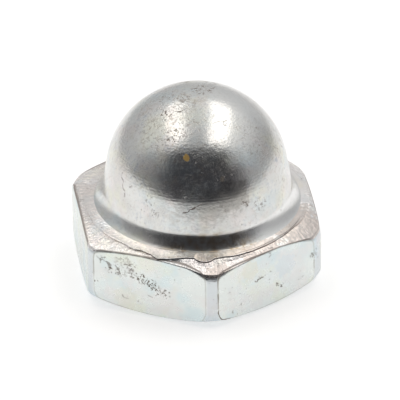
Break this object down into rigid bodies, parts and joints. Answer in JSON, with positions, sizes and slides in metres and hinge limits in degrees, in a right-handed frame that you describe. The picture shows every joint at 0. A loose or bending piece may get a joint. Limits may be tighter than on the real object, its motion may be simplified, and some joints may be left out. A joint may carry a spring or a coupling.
{
  "type": "cap nut",
  "caption": "Domed cap nut in zinc-plated steel: a low chamfered hexagon under a round crown that closes a tapped blind hole.",
  "frame": {"origin": "middle of the bearing face, on the screw axis", "axes": "+Z along the screw axis from the bearing face to the crown's top, +X square to a flat of the hexagon, +Y through a corner"},
  "size_m": [0.017, 0.019, 0.014],
  "materials": {
    "zinc_plate": "bright zinc plating, worn, with small stains and pits"
  },
  "bodies": {
    "root": {"cap_nut": "zinc_plate"}
  },
  "joints": []
}
